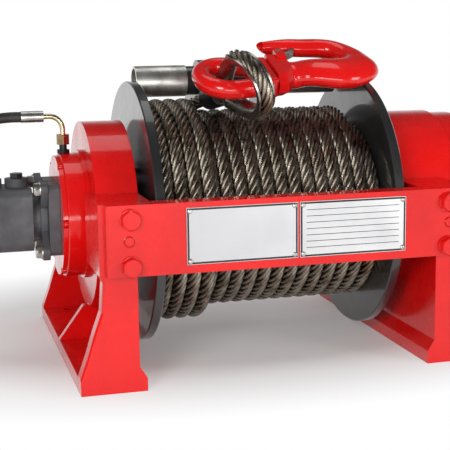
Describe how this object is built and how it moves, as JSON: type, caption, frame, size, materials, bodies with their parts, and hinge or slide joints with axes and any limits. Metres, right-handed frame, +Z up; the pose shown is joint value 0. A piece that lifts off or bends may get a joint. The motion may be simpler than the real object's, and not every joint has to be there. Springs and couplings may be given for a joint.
{
  "type": "hydraulic winch",
  "caption": "Hydraulic drum winch: wire rope drum on two cast pedestals with tie bars, brake, motor, press rollers and a rope end with a latched hook.",
  "frame": {"origin": "centre of the four foot bolts on the mounting face, under the middle of the drum", "axes": "+X along the drum axis from the motor end to the gearbox end, +Y away from the side with the name plates, +Z up"},
  "size_m": [0.7915, 0.5015, 0.455],
  "materials": {
    "red": "glossy red paint on castings",
    "plate": "brushed name plate",
    "black": "satin black paint",
    "rope": "greased steel wire rope",
    "motor": "dark grey cast housing",
    "plug": "black plugs",
    "brass": "brass fitting",
    "zinc": "zinc plated steel",
    "rubber": "black hose cover",
    "ferrule": "dark pressed sleeve",
    "hook_red": "glossy red paint on forging"
  },
  "bodies": {
    "frame": {"left_pedestal": "red", "right_pedestal": "red", "front_tie_bar": "red", "rear_tie_bar": "red", "brake_housing": "red", "brake_end_cover": "red", "gearbox_cover": "red", "gearbox_end_cap": "red", "left_name_plate": "plate", "right_name_plate": "plate", "press_bar": "black", "left_press_arm": "black", "right_press_arm": "black", "rope_tail": "rope", "rope_eye": "rope", "motor_adapter_plate": "motor", "motor_housing": "motor", "motor_gear_ring": "motor", "motor_end_cover": "motor", "motor_port_plugs": "plug", "brake_union": "brass", "hose_port_adapter": "brass", "tube_nut": "zinc", "brake_elbow_tube": "zinc", "hose_crimp_brake": "zinc", "hose_crimp_motor": "zinc", "rope_thimble": "zinc", "latch_pin": "zinc", "brake_hose": "rubber", "rope_ferrule": "ferrule", "swivel_ring": "hook_red", "hook": "hook_red"},
    "drum": {"drum_barrel": "black", "left_drum_flange": "black", "right_drum_flange": "black", "rope_winding": "rope"},
    "left_roller": {"left_press_roller": "zinc"},
    "right_roller": {"right_press_roller": "zinc"},
    "latch": {"hook_latch": "zinc"}
  },
  "joints": [
    {"name": "drum_spin", "type": "hinge", "parent": "frame", "child": "drum", "pos_m": [0, 0, 0.207], "axis": [1, 0, 0], "continuous": true},
    {"name": "left_roller_spin", "type": "hinge", "parent": "frame", "child": "left_roller", "pos_m": [-0.12, 0.052, 0.39451], "axis": [1, 0, 0], "continuous": true},
    {"name": "right_roller_spin", "type": "hinge", "parent": "frame", "child": "right_roller", "pos_m": [0.12, 0.052, 0.39451], "axis": [1, 0, 0], "continuous": true},
    {"name": "latch_hinge", "type": "hinge", "parent": "frame", "child": "latch", "pos_m": [0.04, -0.03171, 0.42003], "axis": [0, 0.3746, -0.9272], "range_deg": [0, 30], "stiffness_Nm_per_rad": 0.3, "springref_deg": -28.65}
  ]
}
